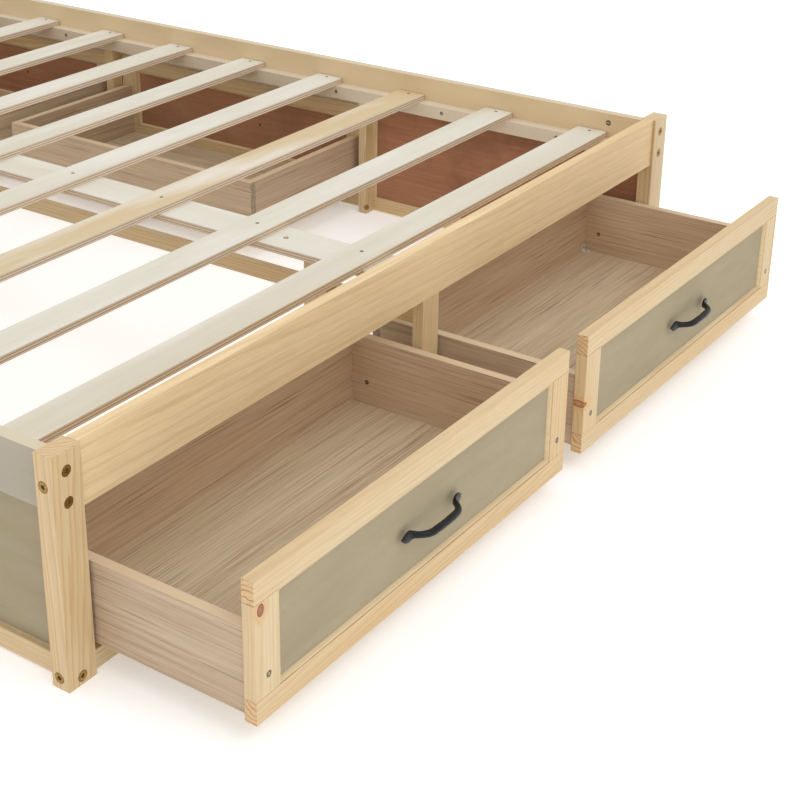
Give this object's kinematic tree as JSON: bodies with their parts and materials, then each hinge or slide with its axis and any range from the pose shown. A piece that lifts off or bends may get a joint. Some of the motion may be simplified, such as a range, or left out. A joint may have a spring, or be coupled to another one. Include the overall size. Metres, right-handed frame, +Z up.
{
  "type": "platform bed with storage drawers",
  "caption": "Low pine platform bed with a slatted deck on a centre beam, and framed storage drawers that slide out of the foot end and both long sides.",
  "frame": {"origin": "centre of the whole outline at floor level, with the foot drawers standing open and the side drawers shut", "axes": "+X to the right of someone facing the foot end, +Y from the foot end towards the head, +Z up"},
  "size_m": [1.624, 2.393, 0.325],
  "materials": {
    "pine": "clear satin lacquer on pale knotty pine",
    "pale_rail": "matte, pale grey-beige veneer",
    "slat_wood": "raw sanded plywood, whitish",
    "grey_green_panel": "matte grey-green washed plywood, red-brown on its inner face",
    "drawer_board": "light brown oak-grain laminate on chipboard",
    "black_iron": "satin black"
  },
  "bodies": {
    "bed_frame": {"post_foot_left": "pine", "post_foot_right": "pine", "post_head_left": "pine", "post_head_right": "pine", "foot_top_rail": "pine", "foot_bottom_rail": "pine", "foot_mid_post": "pine", "head_panel": "pine", "side_top_rail_left": "pale_rail", "side_bottom_rail_left": "pine", "side_ledger_left": "slat_wood", "mid_post_left_foot": "pine", "mid_post_left_head": "pine", "bay_panel_left": "grey_green_panel", "side_top_rail_right": "pale_rail", "side_bottom_rail_right": "pine", "side_ledger_right": "slat_wood", "mid_post_right_foot": "pine", "mid_post_right_head": "pine", "bay_panel_right": "grey_green_panel", "centre_board": "slat_wood", "centre_stretcher": "pine", "centre_leg_foot": "pine", "centre_leg_mid": "pine", "slat_01": "slat_wood", "slat_02": "slat_wood", "slat_03": "slat_wood", "slat_04": "slat_wood", "slat_05": "slat_wood", "slat_06": "slat_wood", "slat_07": "slat_wood", "slat_08": "slat_wood", "slat_09": "slat_wood", "slat_10": "slat_wood"},
    "foot_drawer_left": {"foot_drawer_left_frame": "pine", "foot_drawer_left_panel": "grey_green_panel", "foot_drawer_left_side_left": "drawer_board", "foot_drawer_left_side_right": "drawer_board", "foot_drawer_left_back": "drawer_board", "foot_drawer_left_bottom": "drawer_board", "foot_drawer_left_handle": "black_iron"},
    "foot_drawer_right": {"foot_drawer_right_frame": "pine", "foot_drawer_right_panel": "grey_green_panel", "foot_drawer_right_side_left": "drawer_board", "foot_drawer_right_side_right": "drawer_board", "foot_drawer_right_back": "drawer_board", "foot_drawer_right_bottom": "drawer_board", "foot_drawer_right_handle": "black_iron"},
    "side_drawer_left_foot": {"side_drawer_left_foot_front": "pine", "side_drawer_left_foot_box": "drawer_board", "side_drawer_left_foot_handle": "black_iron"},
    "side_drawer_left_head": {"side_drawer_left_head_front": "pine", "side_drawer_left_head_box": "drawer_board", "side_drawer_left_head_handle": "black_iron"},
    "side_drawer_right_foot": {"side_drawer_right_foot_front": "pine", "side_drawer_right_foot_box": "drawer_board", "side_drawer_right_foot_handle": "black_iron"},
    "side_drawer_right_head": {"side_drawer_right_head_front": "pine", "side_drawer_right_head_box": "drawer_board", "side_drawer_right_head_handle": "black_iron"}
  },
  "joints": [
    {"name": "foot_drawer_left_slide", "type": "slide", "parent": "bed_frame", "child": "foot_drawer_left", "axis": [0, -1, 0], "range_m": [-0.255, 0.045]},
    {"name": "foot_drawer_right_slide", "type": "slide", "parent": "bed_frame", "child": "foot_drawer_right", "axis": [0, -1, 0], "range_m": [-0.255, 0.045]},
    {"name": "side_drawer_left_foot_slide", "type": "slide", "parent": "bed_frame", "child": "side_drawer_left_foot", "axis": [-1, 0, 0], "range_m": [0, 0.3]},
    {"name": "side_drawer_left_head_slide", "type": "slide", "parent": "bed_frame", "child": "side_drawer_left_head", "axis": [-1, 0, 0], "range_m": [0, 0.3]},
    {"name": "side_drawer_right_foot_slide", "type": "slide", "parent": "bed_frame", "child": "side_drawer_right_foot", "axis": [1, 0, 0], "range_m": [0, 0.3]},
    {"name": "side_drawer_right_head_slide", "type": "slide", "parent": "bed_frame", "child": "side_drawer_right_head", "axis": [1, 0, 0], "range_m": [0, 0.3]}
  ]
}
